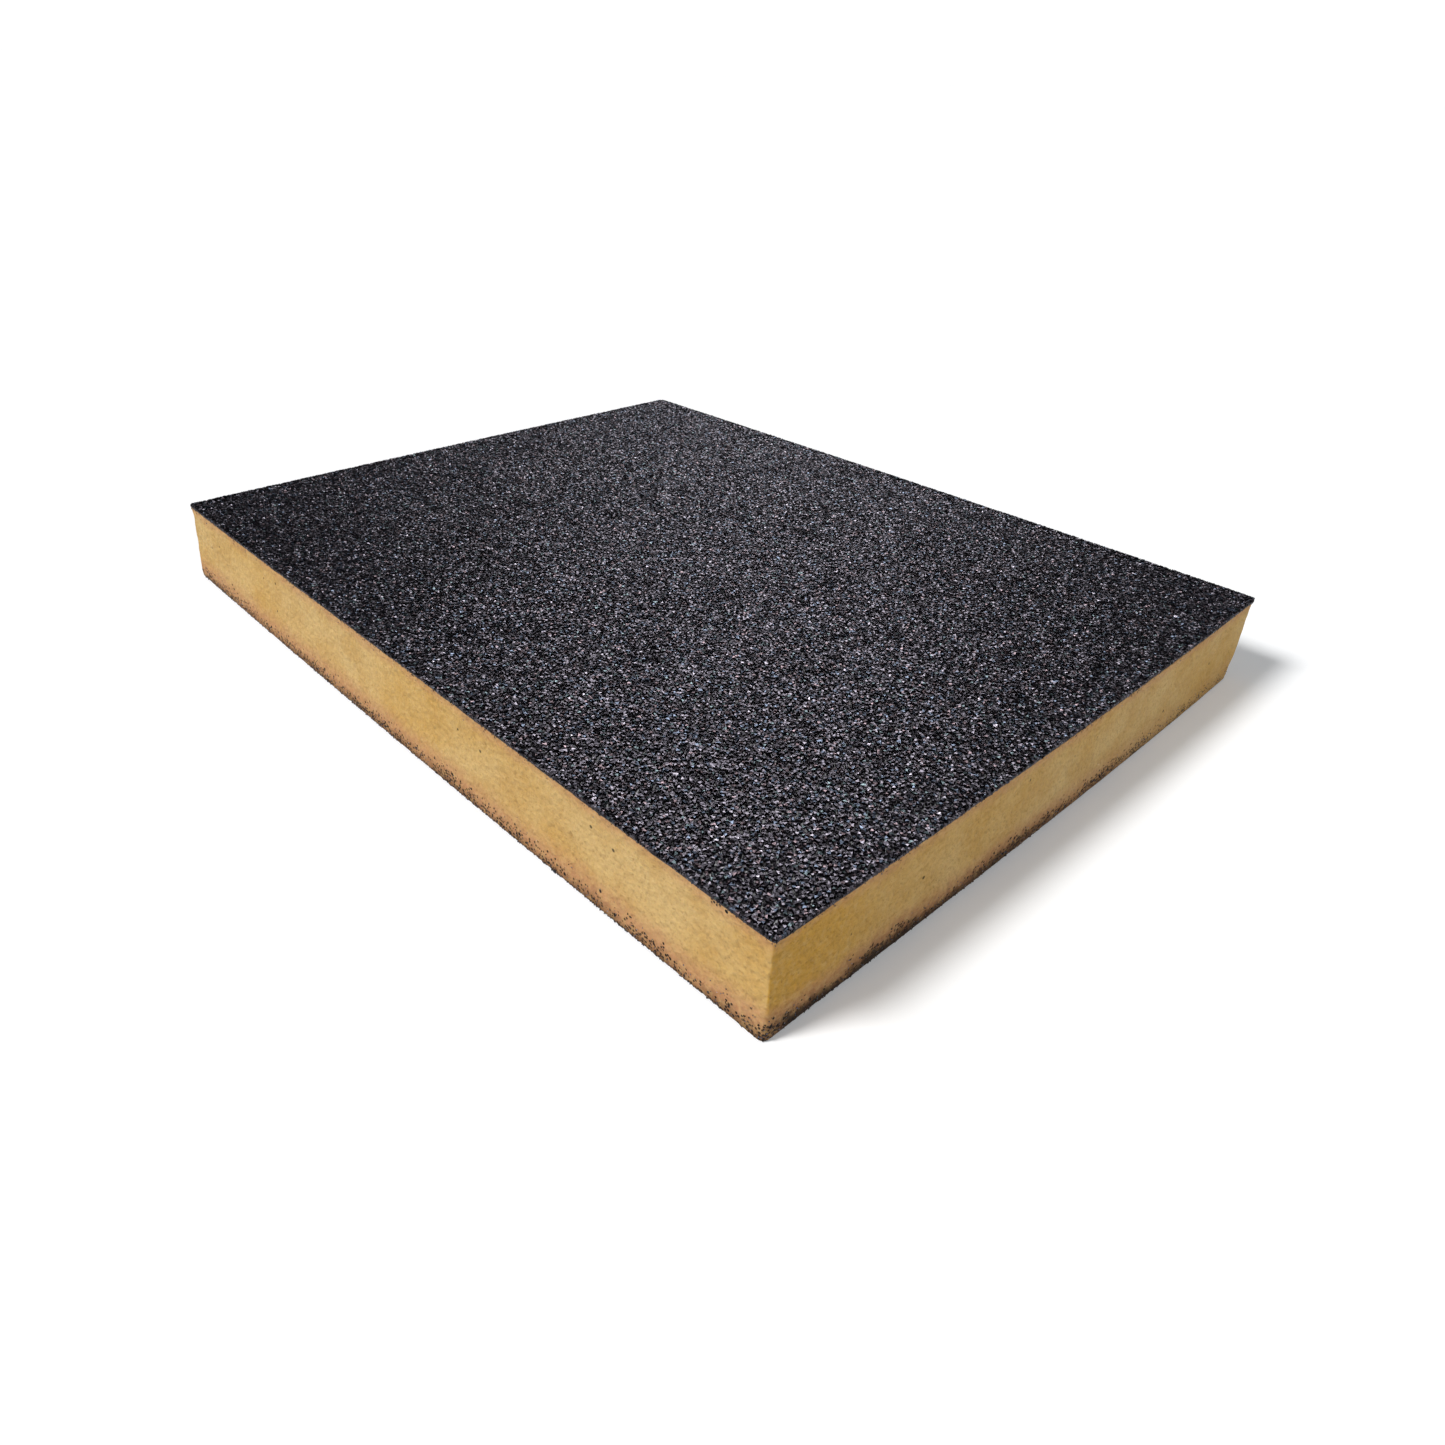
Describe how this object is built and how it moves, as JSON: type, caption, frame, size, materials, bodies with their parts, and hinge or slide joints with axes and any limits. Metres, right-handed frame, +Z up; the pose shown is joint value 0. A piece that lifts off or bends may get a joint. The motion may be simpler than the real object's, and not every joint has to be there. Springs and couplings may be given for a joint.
{
  "type": "sanding block",
  "caption": "Flexible double-sided sanding block: a flat slab of soft yellow foam with black coarse grit bonded to both broad faces, for dry or wet hand sanding.",
  "frame": {"origin": "centre of the lower grit face, on the surface that the block lies on", "axes": "+X along the length, +Y across the width, +Z up through the thickness"},
  "size_m": [0.12, 0.098, 0.012],
  "materials": {
    "foam": "soft matte open-pored polyurethane foam, golden yellow, browner where resin has soaked into the cut edges",
    "make_resin": "matt black-brown cured resin between the grains",
    "grit": "coarse glassy black crystals that glint from their facets",
    "size_resin": "thin satin black resin film over the grains"
  },
  "bodies": {
    "root": {"foam_core": "foam", "upper_make_coat": "make_resin", "upper_grit_layer": "grit", "upper_size_coat": "size_resin", "lower_make_coat": "make_resin", "lower_grit_layer": "grit", "lower_size_coat": "size_resin"}
  },
  "joints": []
}
